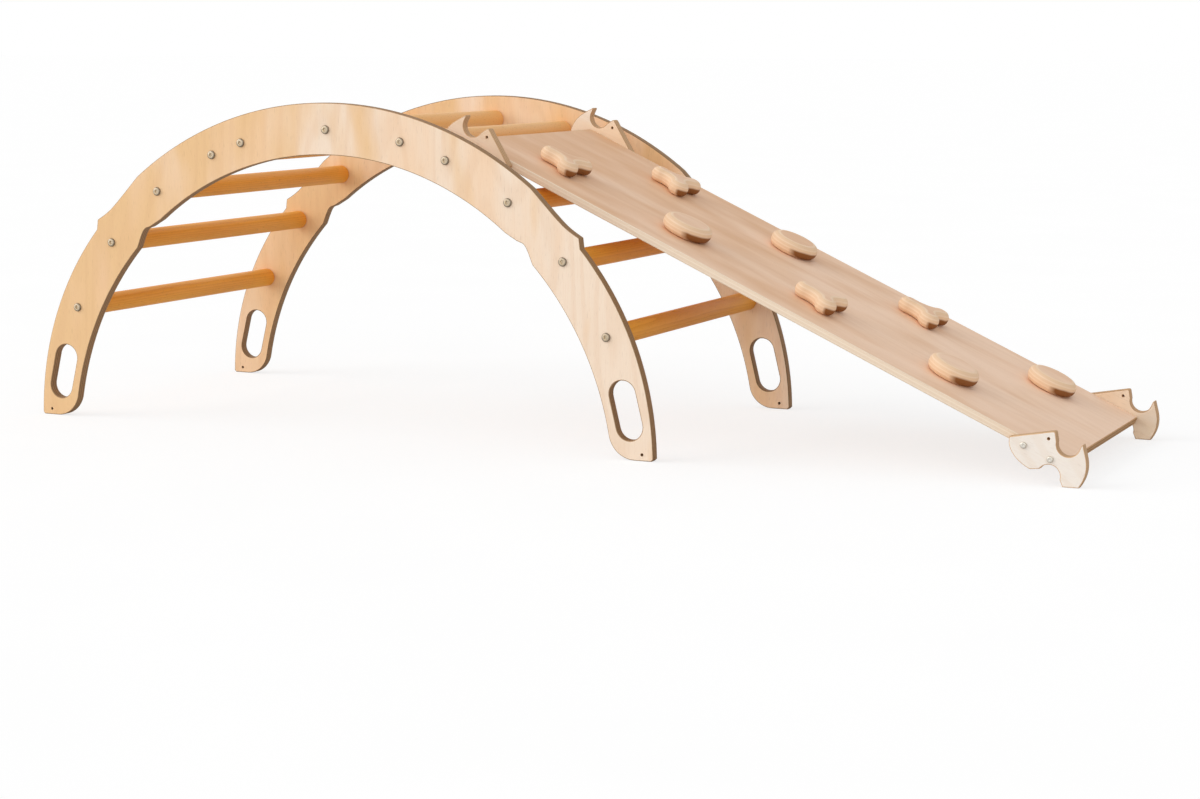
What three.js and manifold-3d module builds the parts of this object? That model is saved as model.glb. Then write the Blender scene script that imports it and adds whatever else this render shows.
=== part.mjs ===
// Wooden climbing arch with a ramp that hooks over one of its rungs.
// Millimetres, +Z up. X runs along the arch, with the ramp towards +X, and Y runs across it.
// The origin is on the floor, under the middle of the arch and the ramp together.
import * as THREE from 'three';
import { mergeVertices } from 'three/addons/utils/BufferGeometryUtils.js';
import Module from 'manifold-3d';

const wasm = await Module();
wasm.setup();

const fullTurn = 2 * Math.PI;
const halfTurn = Math.PI;
const quarterTurn = Math.PI / 2;

// Fits: the gap that touching pieces keep, a screw's play in its hole and a blind bore's spare depth
const seatGap = 0.3;
const screwPlay = 0.3;
const boreSpare = 2;

// Side panels
const panelSpan = 1050;
const panelHeight = 493;
const panelThickness = 15;
const panelBand = 76;
const clearWidth = 528;
const legNarrowing = 15.7;
const legRadius = 455;
const legInset = 3;
const footRound = 40;
const footCorner = 3;

// Rocking stop on each outer shoulder, with its places as shares of the arch's half angle
const stopDip = 4.5;
const stopRise = 2.5;
const stopStep = 6;
const stopStartShare = 0.45;
const stopDipShare = 0.535;
const stopPeakShare = 0.576;
const stopEndShare = 0.592;

// Notch opposite the stop, on the inner edge
const notchDepth = 7.3;
const notchStartShare = 0.46;
const notchRiseShare = 0.49;
const notchPeakShare = 0.511;
const notchEndShare = 0.55;

// Hand slots and the small hole at each foot corner
const slotWidth = 40;
const slotLength = 86;
const slotHeight = 70;
const cornerHoleDiameter = 4;
const cornerHoleInset = 17;
const cornerHoleHeight = 9;

// Rungs, with their places as shares of the arch's half angle, from the crown
const rungDiameter = 30;
const rungChamfer = 1.5;
const rungInset = 39;
const rungShares = [
  ['rung_left_low', -0.754],
  ['rung_left_second', -0.588],
  ['rung_left_third', -0.429],
  ['rung_left_hook', -0.274],
  ['rung_left_stay', -0.2],
  ['rung_crown', 0],
  ['rung_right_stay', 0.169],
  ['rung_right_hook', 0.274],
  ['rung_right_third', 0.429],
  ['rung_right_second', 0.588],
  ['rung_right_low', 0.754],
];

// Socket-head screws that hold the rungs
const rungScrew = {
  length: 62, shankDiameter: 7, headDiameter: 13, headHeight: 2.6, headEdge: 0.8,
  socketDiameter: 5, socketDepth: 1.8, tipLength: 5, sides: 12,
};

// Ramp board
const boardLength = 985;
const boardThickness = 12;
const boardCorner = 5;
const boardEdge = 1.5;
const rampSideClearance = 39.2;

// Hook plates. Backs and outs run along the board from its end, heights and depths from its top face.
const hookThickness = 15;
const hookTail = 82;
const hookReach = 34;
const hookPeakBack = 30;
const hookPeakHeight = 31;
const hookPoint = 3;
const hornOut = 9.5;
const hornHeight = 33;
const upperNotchBack = 7;
const upperNotchFloor = 7;
const lowerNotchBack = 12;
const notchPlay = 0.5;
const lipWidth = 7;
const heelDepth = 31.5;
const footLength = 22;
const bellyDepth = 31;
const plateScrewBack = 20;
const tieHoleDiameter = 4;
const tieHoleBack = 34;
const tieHoleHeight = 18;

// Bends of the hook plate's outline, as shares of its reach and horn, and of its tail and belly
const toeBendShares = [[0.56, 0.6], [1.06, 0.24]];
const bellyBendShares = [[0.47, 1], [0.73, 1], [0.97, 0.66], [1, 0.15]];

const plateScrew = {
  length: 45, shankDiameter: 4.5, headDiameter: 9, headHeight: 2.2, headEdge: 0.9,
  socketDiameter: 3.2, socketDepth: 1.2, tipLength: 4, sides: 10,
};

// Climbing holds: round discs and three-leaved clovers, in two staggered columns
const holdRows = 4;
const holdThickness = 22;
const holdDiameter = 74;
const holdEdge = 8;
const leaves = 3;
const leafRadius = 15.5;
const cloverReach = 44;
const cloverValley = 20;
const cloverLead = 8;
const holdMarginNear = 212;
const holdMarginFar = 120;
const holdMarginTop = 110;
const holdColumnShare = 0.26;

const holdScrew = {
  length: 27, shankDiameter: 4.5, headDiameter: 9, headHeight: 2.2, headEdge: 0.9,
  socketDiameter: 3.2, socketDepth: 1.2, tipLength: 4, sides: 10,
};

// How finely round stretches are drawn
const arcSteps = 14;
const waveSteps = 8;
const roundSteps = 6;
const holeSteps = 10;
const discSteps = 28;
const leafSteps = 10;
const hollowSteps = 4;
const edgeSteps = 2;
const cornerSteps = 2;
const rungSides = 18;

// Sizes that follow from those above
const footReach = panelSpan / 2;
const arcFootReach = footReach + legNarrowing;
const arcRadius = (panelHeight ** 2 + arcFootReach ** 2) / (2 * panelHeight);
const arcCentre = new THREE.Vector2(0, panelHeight - arcRadius);
const halfAngle = Math.acos(-arcCentre.y / arcRadius);
const innerRadius = arcRadius - panelBand;
const legInnerRadius = innerRadius - legInset;
const rungRadius = rungDiameter / 2;
const rungLength = clearWidth - 2 * seatGap;
const innerFace = clearWidth / 2;
const outerFace = innerFace + panelThickness;
const boardWidth = clearWidth - 2 * (rampSideClearance + hookThickness + seatGap);

// Materials
const finish = (color, roughness, metalness = 0) =>
  new THREE.MeshStandardMaterial({ color, roughness, metalness });
const panelPly = finish('#efd0a8', 0.6);
const rungWood = finish('#dcb27c', 0.6);
const boardPly = finish('#e2bc98', 0.65);
const hookPly = finish('#f0d8b8', 0.6);
const holdPly = finish('#e6c3a0', 0.6);
const zinc = finish('#b9bcc0', 0.35, 1);

// Point on a circle. Angles run clockwise from straight up.
function around(centre, radius, angle) {
  return new THREE.Vector2(
    centre.x + radius * Math.sin(angle),
    centre.y + radius * Math.cos(angle));
}

function arcPoints(centre, radius, from, to, steps) {
  const points = [];
  for (let step = 0; step <= steps; step += 1) {
    points.push(around(centre, radius, from + ((to - from) * step) / steps));
  }
  return points;
}

// The outlines here run clockwise, so the holes in them run the other way
function hole(points) {
  return new THREE.Path(THREE.ShapeUtils.isClockWise(points) ? points.reverse() : points);
}

function roundHole(centre, diameter) {
  return hole(arcPoints(centre, diameter / 2, 0, fullTurn, holeSteps).slice(0, -1));
}

// A closed solid for manifold-3d, and one solid with others cut from it
function toManifold(geometry) {
  const bare = geometry.clone();
  bare.deleteAttribute('normal');
  bare.deleteAttribute('uv');
  const merged = mergeVertices(bare);
  const vertProperties = new Float32Array(merged.attributes.position.array);
  const triVerts = new Uint32Array(merged.index.array);
  return new wasm.Manifold(new wasm.Mesh({ numProp: 3, vertProperties, triVerts }));
}

function cut(geometry, tools) {
  let solid = toManifold(geometry);
  for (const tool of tools) {
    solid = solid.subtract(toManifold(tool));
  }
  const mesh = solid.getMesh();
  const result = new THREE.BufferGeometry();
  result.setAttribute('position', new THREE.BufferAttribute(mesh.vertProperties, 3));
  result.setIndex(new THREE.BufferAttribute(mesh.triVerts, 1));
  result.computeVertexNormals();
  return result;
}

// An outline in the XZ plane, thick along Y and centred on Y = 0
function standingPlate(shape, thickness) {
  const geometry = new THREE.ExtrudeGeometry(shape, {
    depth: thickness, bevelEnabled: false, curveSegments: roundSteps,
  });
  geometry.translate(0, 0, -thickness / 2);
  geometry.rotateX(quarterTurn);
  return geometry;
}

// Centre of the circle of the given radius through two points, on the side of the arch's inside
function centreThrough(start, end, radius) {
  const half = end.clone().sub(start).divideScalar(2);
  const inward = new THREE.Vector2(half.y, -half.x).normalize();
  const drop = Math.sqrt(radius ** 2 - half.lengthSq());
  return start.clone().add(half).addScaledVector(inward, drop);
}

function angleOf(point, centre) {
  return Math.atan2(point.x - centre.x, point.y - centre.y);
}

// The leg's outer edge runs from the foot of the stop down to the floor
const legTop = around(arcCentre, arcRadius - stopStep, stopEndShare * halfAngle);
const legCentre = centreThrough(legTop, new THREE.Vector2(footReach, 0), legRadius);

// Right half of a panel's outline, from the crown round the foot and back to the crown
function panelHalf() {
  const stopAt = (share, rise) => around(arcCentre, arcRadius + rise, share * halfAngle);
  const crown = arcPoints(arcCentre, arcRadius, 0, stopStartShare * halfAngle, arcSteps);
  const stop = new THREE.SplineCurve([
    stopAt(stopStartShare, 0),
    stopAt(stopDipShare, -stopDip),
    stopAt(stopPeakShare, stopRise),
  ]).getPoints(waveSteps);
  const soleAngle = Math.acos((footCorner - legCentre.y) / legRadius);
  const legStart = angleOf(legTop, legCentre);
  const leg = arcPoints(legCentre, legRadius, legStart, soleAngle, arcSteps);
  const sole = new THREE.Vector2(footReach - footCorner, 0);

  // The heel's round touches the floor and the leg's inner edge
  const heelLift = footRound - arcCentre.y;
  const heelX = Math.sqrt((legInnerRadius + footRound) ** 2 - heelLift ** 2);
  const heelCentre = new THREE.Vector2(heelX, footRound);
  const heelAngle = angleOf(heelCentre, arcCentre);
  const heel = arcPoints(heelCentre, footRound, halfTurn, halfTurn + heelAngle, roundSteps);

  const notchAt = (share, radius) => around(arcCentre, radius, share * halfAngle);
  const notchEnd = notchEndShare * halfAngle;
  const shin = arcPoints(arcCentre, legInnerRadius, heelAngle, notchEnd, arcSteps);
  const notch = new THREE.SplineCurve([
    notchAt(notchEndShare, legInnerRadius),
    notchAt(notchPeakShare, innerRadius + notchDepth),
    notchAt(notchRiseShare, innerRadius + notchDepth / 2),
    notchAt(notchStartShare, innerRadius),
  ]).getPoints(waveSteps);
  const under = arcPoints(arcCentre, innerRadius, notchStartShare * halfAngle, 0, arcSteps);
  return [
    ...crown, ...stop.slice(1), ...leg, sole,
    ...heel, ...shin.slice(1), ...notch.slice(1), ...under.slice(1),
  ];
}

// A hand slot follows the leg, midway between its edges
function handSlot(side) {
  const innerX = Math.sqrt(legInnerRadius ** 2 - (slotHeight - arcCentre.y) ** 2);
  const outerX = legCentre.x + Math.sqrt(legRadius ** 2 - (slotHeight - legCentre.y) ** 2);
  const middle = new THREE.Vector2((innerX + outerX) / 2, slotHeight);
  const slotRadius = middle.distanceTo(arcCentre);
  const slotAngle = angleOf(middle, arcCentre);
  const swing = (slotLength - slotWidth) / 2 / slotRadius;
  const upper = around(arcCentre, slotRadius, slotAngle - swing);
  const lower = around(arcCentre, slotRadius, slotAngle + swing);
  const top = slotAngle - swing;
  const bottom = slotAngle + swing;
  const points = [
    ...arcPoints(upper, slotWidth / 2, top - halfTurn, top, roundSteps),
    ...arcPoints(lower, slotWidth / 2, bottom, bottom + halfTurn, roundSteps),
  ];
  return hole(points.map((p) => new THREE.Vector2(side * p.x, p.y)));
}

function rungPlace(share) {
  return around(arcCentre, arcRadius - rungInset, share * halfAngle);
}

function panelGeometry() {
  const half = panelHalf();
  const mirrored = half.slice(1, -1).reverse().map((p) => new THREE.Vector2(-p.x, p.y));
  const shape = new THREE.Shape([...half, ...mirrored]);
  for (const [, share] of rungShares) {
    shape.holes.push(roundHole(rungPlace(share), rungScrew.shankDiameter + 2 * screwPlay));
  }
  for (const side of [-1, 1]) {
    const corner = new THREE.Vector2(side * (footReach - cornerHoleInset), cornerHoleHeight);
    shape.holes.push(handSlot(side), roundHole(corner, cornerHoleDiameter));
  }
  return standingPlate(shape, panelThickness);
}

// A turned piece along Y, from its profile of radii and places along Y
function turned(profile, sides) {
  return new THREE.LatheGeometry(profile.map(([r, y]) => new THREE.Vector2(r, y)), sides);
}

// A round rung with a blind bore in each end for its screw
function rungGeometry() {
  const bore = rungScrew.shankDiameter / 2 + screwPlay;
  const end = rungLength / 2;
  const boreEnd = end - (rungScrew.length - panelThickness + boreSpare);
  return turned([
    [0, -boreEnd],
    [bore, -boreEnd],
    [bore, -end],
    [rungRadius - rungChamfer, -end],
    [rungRadius, rungChamfer - end],
    [rungRadius, end - rungChamfer],
    [rungRadius - rungChamfer, end],
    [bore, end],
    [bore, boreEnd],
    [0, boreEnd],
  ], rungSides);
}

// A screw whose head sits on Y = 0 and whose point looks towards +Y
function screwGeometry(screw) {
  const headRadius = screw.headDiameter / 2;
  const socketRadius = screw.socketDiameter / 2;
  const shankRadius = screw.shankDiameter / 2;
  return turned([
    [0, screw.socketDepth - screw.headHeight],
    [socketRadius, screw.socketDepth - screw.headHeight],
    [socketRadius, -screw.headHeight],
    [headRadius - screw.headEdge, -screw.headHeight],
    [headRadius, screw.headEdge - screw.headHeight],
    [headRadius, 0],
    [shankRadius, 0],
    [shankRadius, screw.length - screw.tipLength],
    [0, screw.length],
  ], screw.sides);
}

function add(group, name, geometry, material) {
  const mesh = new THREE.Mesh(geometry, material);
  mesh.name = name;
  group.add(mesh);
  return mesh;
}

// The arch: two panels, the rungs between them and a screw into each rung end
function buildArch() {
  const arch = new THREE.Group();
  const panel = panelGeometry();
  const panelMiddle = innerFace + panelThickness / 2;
  add(arch, 'near_side_panel', panel, panelPly).position.y = -panelMiddle;
  add(arch, 'far_side_panel', panel, panelPly).position.y = panelMiddle;
  const rung = rungGeometry();
  const screw = screwGeometry(rungScrew);
  for (const [name, share] of rungShares) {
    const place = rungPlace(share);
    add(arch, name, rung, rungWood).position.set(place.x, 0, place.y);
    const near = add(arch, `${name}_screw_near`, screw, zinc);
    near.position.set(place.x, -outerFace - seatGap, place.y);
    const far = add(arch, `${name}_screw_far`, screw, zinc);
    far.position.set(place.x, outerFace + seatGap, place.y);
    far.rotation.z = halfTurn;
  }
  return arch;
}

// The notch under a hook plate holds the rung just below the board
const lowerNotchDepth = boardThickness + seatGap + rungRadius;
const lowerNotchRadius = rungRadius + notchPlay;
const heelOut = lowerNotchRadius - lowerNotchBack + lipWidth;
const boardReach = boardLength - lowerNotchBack;

// How far the ramp leans on a rung when the heels of its lower hook plates stand on the floor
function leanFrom(rung) {
  const heelFall = lowerNotchDepth - heelDepth;
  const heelRun = boardReach + heelOut;
  return Math.asin(rung.y / Math.hypot(heelRun, heelFall)) + Math.atan2(heelFall, heelRun);
}

// The ramp hooks over the highest rung from which it passes clear above the next one down
function hookRung() {
  const rungs = rungShares.filter(([, share]) => share >= 0).map(([, share]) => rungPlace(share));
  return rungs.find((rung, index) => {
    const next = rungs[index + 1];
    if (!next) {
      return true;
    }
    const lean = leanFrom(rung);
    const drop = (rung.x - next.x) * Math.sin(lean) + (rung.y - next.y) * Math.cos(lean);
    return drop > holdScrew.headHeight + seatGap;
  });
}

const hinge = hookRung();
const rampAngle = leanFrom(hinge);

// Outline of a hook plate. X runs out past the board's end, and Y up from its top face.
function hookShape() {
  const upperNotchRadius = rungRadius + 2 * notchPlay;
  const upperNotch = new THREE.Vector2(-upperNotchBack, upperNotchFloor + upperNotchRadius);
  const lowerNotch = new THREE.Vector2(-lowerNotchBack, -lowerNotchDepth);
  const wallTurn = Math.asin((hookPeakBack - upperNotchBack - upperNotchRadius) / hookPeakHeight);
  const toe = new THREE.Vector2(
    heelOut + footLength * Math.cos(rampAngle),
    footLength * Math.sin(rampAngle) - heelDepth);
  const bends = toeBendShares.map(([out, up]) => [out * hookReach, up * hornHeight]);
  const belly = bellyBendShares.map(([back, down]) => [-back * hookTail, -down * bellyDepth]);

  const shape = new THREE.Shape();
  shape.moveTo(belly[3][0], belly[3][1]);
  shape.lineTo(-hookPeakBack - hookPoint, hookPeakHeight - hookPoint / 2);
  shape.quadraticCurveTo(
    -hookPeakBack, hookPeakHeight, -hookPeakBack + hookPoint / 2, hookPeakHeight - hookPoint);
  for (const point of arcPoints(
    upperNotch, upperNotchRadius, -quarterTurn - wallTurn, -halfTurn - quarterTurn, roundSteps * 2)) {
    shape.lineTo(point.x, point.y);
  }
  shape.lineTo(hornOut - hookPoint / 4, hornHeight - hookPoint);
  shape.quadraticCurveTo(hornOut, hornHeight, hornOut + hookPoint / 2, hornHeight - hookPoint / 2);
  shape.bezierCurveTo(...bends[0], ...bends[1], toe.x, toe.y);
  shape.lineTo(heelOut, -heelDepth);
  const lipAngle = Math.acos((lowerNotchDepth - heelDepth + lipWidth) / lowerNotchRadius);
  const lips = arcPoints(lowerNotch, lowerNotchRadius, lipAngle, -lipAngle, roundSteps * 2);
  for (const point of lips) {
    shape.lineTo(point.x, point.y);
  }
  shape.lineTo(...belly[0]);
  shape.bezierCurveTo(...belly[1], ...belly[2], ...belly[3]);

  const screwHole = new THREE.Vector2(-plateScrewBack, -boardThickness / 2);
  const tieHole = new THREE.Vector2(-tieHoleBack, tieHoleHeight);
  shape.holes.push(
    roundHole(screwHole, plateScrew.shankDiameter + 2 * screwPlay),
    roundHole(tieHole, tieHoleDiameter));
  return shape;
}

// A clover's round leaves are joined by hollow curves. One leaf points up the ramp.
function cloverPoints() {
  const origin = new THREE.Vector2();
  const spread = halfTurn / leaves;
  const offset = cloverReach - leafRadius;
  const beside = offset * Math.cos(spread);
  const hollowRadius = (offset ** 2 + cloverValley ** 2 - leafRadius ** 2 - 2 * beside * cloverValley)
    / (2 * (leafRadius - cloverValley + beside));
  const hollowReach = cloverValley + hollowRadius;
  const half = angleOf(around(origin, hollowReach, spread), around(origin, offset, 0));
  const points = [];
  for (let leaf = 0; leaf < leaves; leaf += 1) {
    const turn = 2 * spread * leaf - quarterTurn;
    const leafCentre = around(origin, offset, turn);
    const hollowCentre = around(origin, hollowReach, turn + spread);
    const hollowStart = turn + half + halfTurn;
    const hollowEnd = turn + 2 * spread - half + halfTurn;
    points.push(
      ...arcPoints(leafCentre, leafRadius, turn - half, turn + half, leafSteps),
      ...arcPoints(hollowCentre, hollowRadius, hollowStart, hollowEnd, hollowSteps).slice(1, -1));
  }
  return points;
}

// A climbing hold lying on Z = 0, with a blind bore for its screw
function holdGeometry(outline) {
  const body = new THREE.ExtrudeGeometry(new THREE.Shape(outline), {
    depth: holdThickness - 2 * holdEdge, bevelSegments: edgeSteps,
    bevelThickness: holdEdge, bevelSize: holdEdge, bevelOffset: -holdEdge,
  });
  body.translate(0, 0, holdEdge);
  const depth = holdScrew.length - boardThickness - seatGap + boreSpare;
  const radius = holdScrew.shankDiameter / 2 + screwPlay;
  const bore = new THREE.CylinderGeometry(radius, radius, 2 * depth, holeSteps);
  bore.rotateX(quarterTurn);
  return cut(body, [bore]);
}

// Places of the holds on the board, from its lower end up
function holdPlaces() {
  const pitch = (boardLength - holdMarginNear - holdMarginTop) / (holdRows - 1);
  const column = holdColumnShare * boardWidth;
  const places = [];
  for (let row = 0; row < holdRows; row += 1) {
    const leafy = row % 2 === 1;
    const x = (leafy ? cloverLead : 0) - row * pitch;
    places.push({ side: 'near', row, leafy, x: x - holdMarginNear, y: -column });
    places.push({ side: 'far', row, leafy, x: x - holdMarginFar, y: column });
  }
  return places;
}

// The ramp board, with X = 0 at its lower end and Z = 0 at its top face
function boardGeometry() {
  const corner = boardCorner - boardEdge;
  const ends = [boardCorner - boardLength, -boardCorner];
  const side = boardWidth / 2 - boardCorner;
  const corners = [[ends[1], side, 0], [ends[1], -side, 1], [ends[0], -side, 2], [ends[0], side, 3]];
  const outline = corners.flatMap(([x, y, turn]) => arcPoints(
    new THREE.Vector2(x, y), corner, turn * quarterTurn, (turn + 1) * quarterTurn, cornerSteps));
  const body = new THREE.ExtrudeGeometry(new THREE.Shape(outline), {
    depth: boardThickness - 2 * boardEdge, bevelSegments: 1,
    bevelThickness: boardEdge, bevelSize: boardEdge,
  });
  body.translate(0, 0, boardEdge - boardThickness);

  const tools = [];
  const holdHole = holdScrew.shankDiameter / 2 + screwPlay;
  for (const place of holdPlaces()) {
    const hole = new THREE.CylinderGeometry(holdHole, holdHole, 2 * boardThickness, holeSteps);
    hole.rotateX(quarterTurn);
    hole.translate(place.x, place.y, -boardThickness / 2);
    tools.push(hole);
  }
  const plateHole = plateScrew.shankDiameter / 2 + screwPlay;
  const depth = plateScrew.length - hookThickness + boreSpare;
  for (const x of [-plateScrewBack, plateScrewBack - boardLength]) {
    for (const y of [-boardWidth / 2, boardWidth / 2]) {
      const hole = new THREE.CylinderGeometry(plateHole, plateHole, 2 * depth, holeSteps);
      hole.translate(x, y, -boardThickness / 2);
      tools.push(hole);
    }
  }
  return cut(body, tools);
}

// The ramp hangs on its rung, and its group turns about the rung's axis
function buildRamp() {
  const ramp = new THREE.Group();
  ramp.position.set(hinge.x, 0, hinge.y);
  ramp.rotation.y = rampAngle;
  const board = new THREE.Group();
  board.position.set(boardReach, 0, lowerNotchDepth);
  ramp.add(board);
  add(board, 'ramp_board', boardGeometry(), boardPly);

  const plate = standingPlate(hookShape(), hookThickness);
  const screw = screwGeometry(plateScrew);
  const plateMiddle = boardWidth / 2 + seatGap + hookThickness / 2;
  const plateFace = plateMiddle + hookThickness / 2 + seatGap;
  for (const [end, x, outward] of [['lower', 0, 1], ['upper', -boardLength, -1]]) {
    for (const [side, across] of [['near', -1], ['far', 1]]) {
      const hook = add(board, `${end}_hook_plate_${side}`, plate, hookPly);
      hook.position.set(x, across * plateMiddle, 0);
      hook.rotation.z = outward > 0 ? 0 : halfTurn;
      const fixing = add(board, `${end}_hook_plate_${side}_screw`, screw, zinc);
      fixing.position.set(x - outward * plateScrewBack, across * plateFace, -boardThickness / 2);
      fixing.rotation.z = across < 0 ? 0 : halfTurn;
    }
  }

  const disc = holdGeometry(
    arcPoints(new THREE.Vector2(), holdDiameter / 2, 0, fullTurn, discSteps).slice(0, -1));
  const clover = holdGeometry(cloverPoints());
  const pin = screwGeometry(holdScrew);
  for (const place of holdPlaces()) {
    const name = `${place.leafy ? 'clover' : 'disc'}_hold_${place.side}_${place.row + 1}`;
    const hold = add(board, name, place.leafy ? clover : disc, holdPly);
    hold.position.set(place.x, place.y, seatGap);
    const fixing = add(board, `${name}_screw`, pin, zinc);
    fixing.position.set(place.x, place.y, -boardThickness - seatGap);
    fixing.rotation.x = quarterTurn;
  }
  return ramp;
}

// How far the ramp's lower hook plates reach along X
function rampReach() {
  const reaches = hookShape().getPoints(roundSteps).map((p) => {
    const along = (boardReach + p.x) * Math.cos(rampAngle);
    return along + (lowerNotchDepth + p.y) * Math.sin(rampAngle);
  });
  return hinge.x + Math.max(...reaches);
}

const assembly = new THREE.Group();
assembly.position.x = (footReach - rampReach()) / 2;
assembly.add(buildArch(), buildRamp());

const object = new THREE.Group();
object.add(assembly);

export default object;
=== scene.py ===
import math
import random

import bmesh
import bpy
from mathutils import Matrix, Vector
from mathutils.geometry import tessellate_polygon


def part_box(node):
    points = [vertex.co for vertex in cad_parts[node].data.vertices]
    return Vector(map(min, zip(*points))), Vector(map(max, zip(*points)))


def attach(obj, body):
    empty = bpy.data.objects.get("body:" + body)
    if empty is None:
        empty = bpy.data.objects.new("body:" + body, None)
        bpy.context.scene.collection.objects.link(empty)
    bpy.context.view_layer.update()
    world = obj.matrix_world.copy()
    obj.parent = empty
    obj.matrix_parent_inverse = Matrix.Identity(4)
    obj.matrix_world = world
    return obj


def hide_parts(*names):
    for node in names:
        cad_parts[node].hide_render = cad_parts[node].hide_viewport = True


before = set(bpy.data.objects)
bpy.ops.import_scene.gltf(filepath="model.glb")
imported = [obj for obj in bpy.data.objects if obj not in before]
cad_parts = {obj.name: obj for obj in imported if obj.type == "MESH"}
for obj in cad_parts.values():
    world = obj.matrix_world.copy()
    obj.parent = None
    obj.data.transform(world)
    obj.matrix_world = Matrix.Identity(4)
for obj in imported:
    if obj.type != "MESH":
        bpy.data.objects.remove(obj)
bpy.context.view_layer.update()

# Lengths are written in millimetres and turned to metres where a mesh is made
MM = 0.001

# Turns in radians
QUARTER = math.pi / 2
HALF = math.pi
FULL = 2 * math.pi

# Gaps between pieces that touch, and round their screws
SEAT_GAP = 0.3
SCREW_HOLE_PLAY = 0.3

# Side panels, as the frame has them. Shares are of the arch's half angle, from the crown
PANEL_SPAN = 1050
PANEL_HEIGHT = 493
PANEL_THICKNESS = 15
PANEL_BAND = 76
PANEL_ROUND = 1.1
LEG_NARROWING = 15.7
LEG_RADIUS = 455
LEG_INSET = 3
FOOT_ROUND = 40
FOOT_CORNER = 3
STOP_DIP = 4.5
STOP_RISE = 2.5
STOP_STEP = 6
STOP_SHARES = {"start": 0.45, "dip": 0.535, "peak": 0.576, "end": 0.592}
NOTCH_DEPTH = 7.3
NOTCH_SHARES = {"start": 0.46, "rise": 0.49, "peak": 0.511, "end": 0.55}
SLOT_WIDTH = 40
SLOT_LENGTH = 86
SLOT_HEIGHT = 70
SLOT_ROUND = 1.4
CORNER_HOLE = 4
CORNER_HOLE_INSET = 17
CORNER_HOLE_HEIGHT = 9
HOLE_ROUND = 0.4

# Rungs
RUNGS = [
    "left_low", "left_second", "left_third", "left_hook", "left_stay", "crown",
    "right_stay", "right_hook", "right_third", "right_second", "right_low",
]
RUNG_DIAMETER = 30
RUNG_ROUND = 1.8
RUNG_BORE_SPARE = 2

# Ramp board. A little of each round corner has the ends' darker brown, which is painted shade
BOARD_LENGTH = 985
BOARD_WIDTH = 418.4
BOARD_THICKNESS = 12
BOARD_CORNER = 5
BOARD_ROUND = 2
BOARD_END_SHARE = 0.6

# Hook plates, measured from the board's end and its top face
HOOK_THICKNESS = 15
HOOK_ROUND = 1.1
HOOK_TAIL = 82
HOOK_REACH = 34
HOOK_PEAK_BACK = 30
HOOK_PEAK_HEIGHT = 31
HOOK_POINT = 3
HORN_OUT = 9.5
HORN_HEIGHT = 33
UPPER_NOTCH_BACK = 7
UPPER_NOTCH_FLOOR = 7
UPPER_NOTCH_RADIUS = 16
LOWER_NOTCH_BACK = 12
LOWER_NOTCH_RADIUS = 15.5
LIP_WIDTH = 7
HEEL_DEPTH = 31.5
FOOT_LENGTH = 22
BELLY_DEPTH = 31
PLATE_SCREW_BACK = 20
SECOND_SCREW_BACK = 60
TIE_HOLE = 4
TIE_HOLE_BACK = 34
TIE_HOLE_HEIGHT = 18
TOE_BEND_SHARES = [(0.56, 0.6), (1.06, 0.24)]
BELLY_BEND_SHARES = [(0.47, 1), (0.73, 1), (0.97, 0.66), (1, 0.15)]

# Climbing holds
HOLD_ROWS = 4
HOLD_THICKNESS = 22
HOLD_DIAMETER = 74
HOLD_ROUND = 10
LEAVES = 3
LEAF_RADIUS = 15.5
CLOVER_REACH = 44
CLOVER_VALLEY = 20
HOLD_SCREW_SPREAD = 11

# Screws: a button head with a hexagon socket on a plain shank
RUNG_SCREW = {"length": 62, "shank": 7, "head": 13, "height": 2.6, "socket": 5, "depth": 1.8, "tip": 5}
PLATE_SCREW = {"length": 45, "shank": 4.5, "head": 9, "height": 2.2, "socket": 3.2, "depth": 1.2, "tip": 4}
HOLD_SCREW = {"length": 27, "shank": 4.5, "head": 9, "height": 2.2, "socket": 3.2, "depth": 1.2, "tip": 4}
SOCKET_BEVEL = 0.25
SOCKET_FLOOR_SHARE = 0.98
HEAD_FLAT_SHARE = 0.72
HEAD_RIM_SHARE = 0.25
SCREW_POINT_SHARE = 0.1

# Steps or sides that curves are drawn with
ARC_STEPS = 30
STOP_STEPS = 10
NOTCH_STEPS = 8
HEEL_STEPS = 14
SLOT_STEPS = 16
HOLE_SIDES = 16
RUNG_HOLE_SIDES = 20
HOLD_HOLE_SIDES = 12
BOARD_CORNER_STEPS = 6
POINT_STEPS = 5
HOOK_NOTCH_STEPS = 28
TOE_STEPS = 16
BELLY_STEPS = 20
LEAF_STEPS = 28
HOLLOW_STEPS = 12
DISC_SIDES = 72
RUNG_SIDES = 48
SCREW_SIDES = 24
HEAD_STEPS = 5
EDGE_STEPS = 3
BOARD_EDGE_STEPS = 4
RUNG_EDGE_STEPS = 4
HOLD_EDGE_STEPS = 8

# Tones. Wood is warmer than its middle above zero, and paler below zero
# Painted light on the side panels: the near one pales towards the ramp's foot
NEAR_PANEL_PAINTED_LIGHT = 0.5
# The far panel is drawn warmer as painted bounce light, and pales in its last leg as painted light where
# the board shades it
FAR_PANEL_PAINTED_WARMTH = 0.08
FAR_LEG_PAINTED_LIGHT = 1.2
FAR_LEG_PAINTED_LIGHT_FROM = 0.3
BOARD_TONE = -0.2
BOARD_PALING = 0.36
HOOK_TONE = 0.04
# The lower near hook plate is drawn paler than the others, as painted light
PAINTED_LIGHT_HOOK_TONE = -0.25
HOLD_TONE_SPREAD = 0.06
RUNG_TONE_SPREAD = 0.08
# These rungs are drawn paler, as painted light
RUNG_PAINTED_LIGHT = {
    "crown": 0.45, "right_stay": 0.5, "right_third": 0.1, "right_second": 0.1, "right_low": 0.1,
}
# Tones below these mix a rung towards its pale painted-light colour
PAINTED_LIGHT_BELOW = -0.2
ALL_PAINTED_LIGHT = -0.7

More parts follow.
